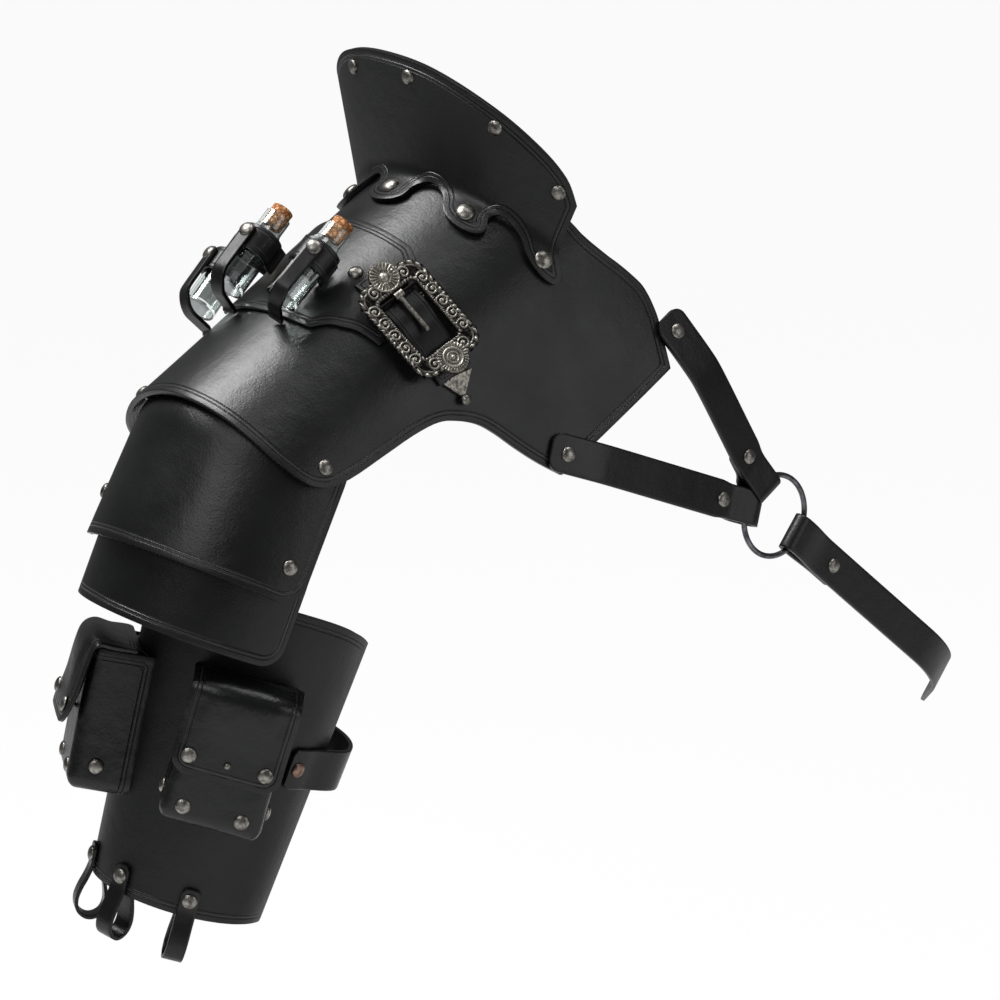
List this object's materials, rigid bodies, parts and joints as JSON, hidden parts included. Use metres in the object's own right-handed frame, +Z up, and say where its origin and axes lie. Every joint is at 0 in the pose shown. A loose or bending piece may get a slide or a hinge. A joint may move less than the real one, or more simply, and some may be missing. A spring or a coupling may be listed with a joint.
{
  "type": "leather shoulder armour",
  "caption": "Black leather shoulder armour with a flared neck guard, nested lames and an arm guard with pouches and belt loops, corked glass vials, an ornate buckle and a ringed chest harness.",
  "frame": {"origin": "the point of the plate's inner face that rests on top of the shoulder", "axes": "+Z up, +X to the wearer's left (towards the neck), +Y to the wearer's back; the armour covers the right shoulder"},
  "size_m": [0.5244, 0.2132, 0.4484],
  "materials": {
    "black_leather": "satin, fine grain",
    "strap_leather": "satin",
    "gun_metal": "polished gun metal",
    "copper_rivet": "antique copper",
    "antique_silver": "antique silver, dark recesses",
    "ring_steel": "polished",
    "clear_glass": "clear",
    "cork": "raw cork"
  },
  "bodies": {
    "shoulder": {"shoulder_plate": "black_leather", "neck_guard": "black_leather", "neck_tab_rivets": "gun_metal", "neck_rim_rivets": "gun_metal", "vial_strip": "black_leather", "vial_strip_rivets": "gun_metal", "vial_band_1": "black_leather", "vial_band_2": "black_leather", "vial_band_3": "black_leather", "vial_cradle_1": "strap_leather", "vial_cradle_2": "strap_leather", "vial_cradle_3": "strap_leather", "vial_cradle_rivets": "gun_metal", "buckle_frame": "antique_silver", "buckle_strap": "strap_leather", "buckle_strap_tip": "antique_silver", "harness_strap_upper": "strap_leather", "harness_strap_lower": "strap_leather", "harness_plate_rivets": "gun_metal", "harness_fold_rivets": "gun_metal", "cap_pivot_rivets": "gun_metal"},
    "buckle_prong": {"buckle_tongue": "antique_silver"},
    "upper_lame": {"lame_upper": "black_leather", "lame_pivot_rivets": "gun_metal"},
    "lower_lame": {"lame_lower": "black_leather", "hanger_strap_front": "strap_leather", "hanger_strap_rear": "strap_leather"},
    "arm": {"arm_guard": "black_leather", "guard_pivot_rivets": "gun_metal", "arm_strap": "strap_leather", "arm_strap_rivets": "copper_rivet", "pouch_1": "black_leather", "pouch_2": "black_leather", "pouch_studs": "gun_metal", "pouch_wall_rivets": "gun_metal", "pouch_back_rivets": "gun_metal"},
    "flap_front": {"pouch_flap_1": "black_leather", "flap_rivets_1": "gun_metal"},
    "flap_rear": {"pouch_flap_2": "black_leather", "flap_rivets_2": "gun_metal"},
    "loop_front": {"belt_loop_1": "strap_leather", "belt_loop_rivet_1": "gun_metal"},
    "loop_middle": {"belt_loop_2": "strap_leather", "belt_loop_rivet_2": "gun_metal"},
    "loop_rear": {"belt_loop_3": "strap_leather", "belt_loop_rivet_3": "gun_metal"},
    "vial_front": {"vial_1": "clear_glass"},
    "vial_middle": {"vial_2": "clear_glass"},
    "vial_rear": {"vial_3": "clear_glass"},
    "cork_front": {"cork_1": "cork"},
    "cork_middle": {"cork_2": "cork"},
    "cork_rear": {"cork_3": "cork"},
    "ring": {"o_ring": "ring_steel"},
    "chest": {"chest_strap": "strap_leather", "chest_strap_rivet": "gun_metal"}
  },
  "joints": [
    {"name": "upper_lame_swing", "type": "hinge", "parent": "shoulder", "child": "upper_lame", "pos_m": [-0.03251, -0.01202, -0.05661], "axis": [0.2137, -0.9569, -0.1965], "range_deg": [-1, 6]},
    {"name": "lower_lame_swing", "type": "hinge", "parent": "upper_lame", "child": "lower_lame", "pos_m": [-0.05266, -0.00968, -0.10376], "axis": [0.2476, -0.9459, -0.2097], "range_deg": [-1, 6]},
    {"name": "arm_guard_swing", "type": "hinge", "parent": "lower_lame", "child": "arm", "pos_m": [-0.04041, -0.00154, -0.14095], "axis": [0, -0.9867, -0.1624], "range_deg": [-2, 1.5]},
    {"name": "flap_front_open", "type": "hinge", "parent": "arm", "child": "flap_front", "pos_m": [-0.0461, -0.04196, -0.17324], "axis": [-0.7641, 0.5762, 0.29], "range_deg": [0, 25]},
    {"name": "flap_rear_open", "type": "hinge", "parent": "arm", "child": "flap_rear", "pos_m": [-0.06042, 0.03292, -0.16561], "axis": [0.5139, 0.8578, 0.01], "range_deg": [-8, 60]},
    {"name": "loop_front_swing", "type": "hinge", "parent": "arm", "child": "loop_front", "pos_m": [-0.06653, -0.0162, -0.29057], "axis": [-0.5546, -0.8284, -0.0791], "range_deg": [-15, 15]},
    {"name": "loop_middle_swing", "type": "hinge", "parent": "arm", "child": "loop_middle", "pos_m": [-0.08604, 0.01351, -0.2807], "axis": [-0.9724, -0.192, 0.1324], "range_deg": [-15, 15]},
    {"name": "loop_rear_swing", "type": "hinge", "parent": "arm", "child": "loop_rear", "pos_m": [-0.08075, 0.04422, -0.277], "axis": [-0.8593, 0.4656, 0.2117], "range_deg": [-15, 15]},
    {"name": "prong_lift", "type": "hinge", "parent": "shoulder", "child": "buckle_prong", "pos_m": [0.03744, -0.0562, 0.01075], "axis": [-0.8771, 0.0787, -0.4738], "range_deg": [0, 75]},
    {"name": "ring_turn", "type": "hinge", "parent": "shoulder", "child": "ring", "pos_m": [0.248, -0.106, -0.122], "axis": [0, -1, 0], "continuous": true},
    {"name": "chest_strap_swing", "type": "hinge", "parent": "shoulder", "child": "chest", "pos_m": [0.248, -0.106, -0.122], "axis": [0, -1, 0], "range_deg": [-25, 25]},
    {"name": "vial_front_slide", "type": "slide", "parent": "shoulder", "child": "vial_front", "axis": [0.7362, -0.05, 0.675], "range_m": [0, 0.045]},
    {"name": "cork_front_pull", "type": "slide", "parent": "vial_front", "child": "cork_front", "axis": [0.7362, -0.05, 0.675], "range_m": [0, 0.015]},
    {"name": "vial_middle_slide", "type": "slide", "parent": "shoulder", "child": "vial_middle", "axis": [0.7356, 0.045, 0.6759], "range_m": [0, 0.045]},
    {"name": "cork_middle_pull", "type": "slide", "parent": "vial_middle", "child": "cork_middle", "axis": [0.7356, 0.045, 0.6759], "range_m": [0, 0.015]},
    {"name": "vial_rear_slide", "type": "slide", "parent": "shoulder", "child": "vial_rear", "axis": [0.7559, 0.1328, 0.6411], "range_m": [0, 0.045]},
    {"name": "cork_rear_pull", "type": "slide", "parent": "vial_rear", "child": "cork_rear", "axis": [0.7559, 0.1328, 0.6411], "range_m": [0, 0.015]}
  ]
}
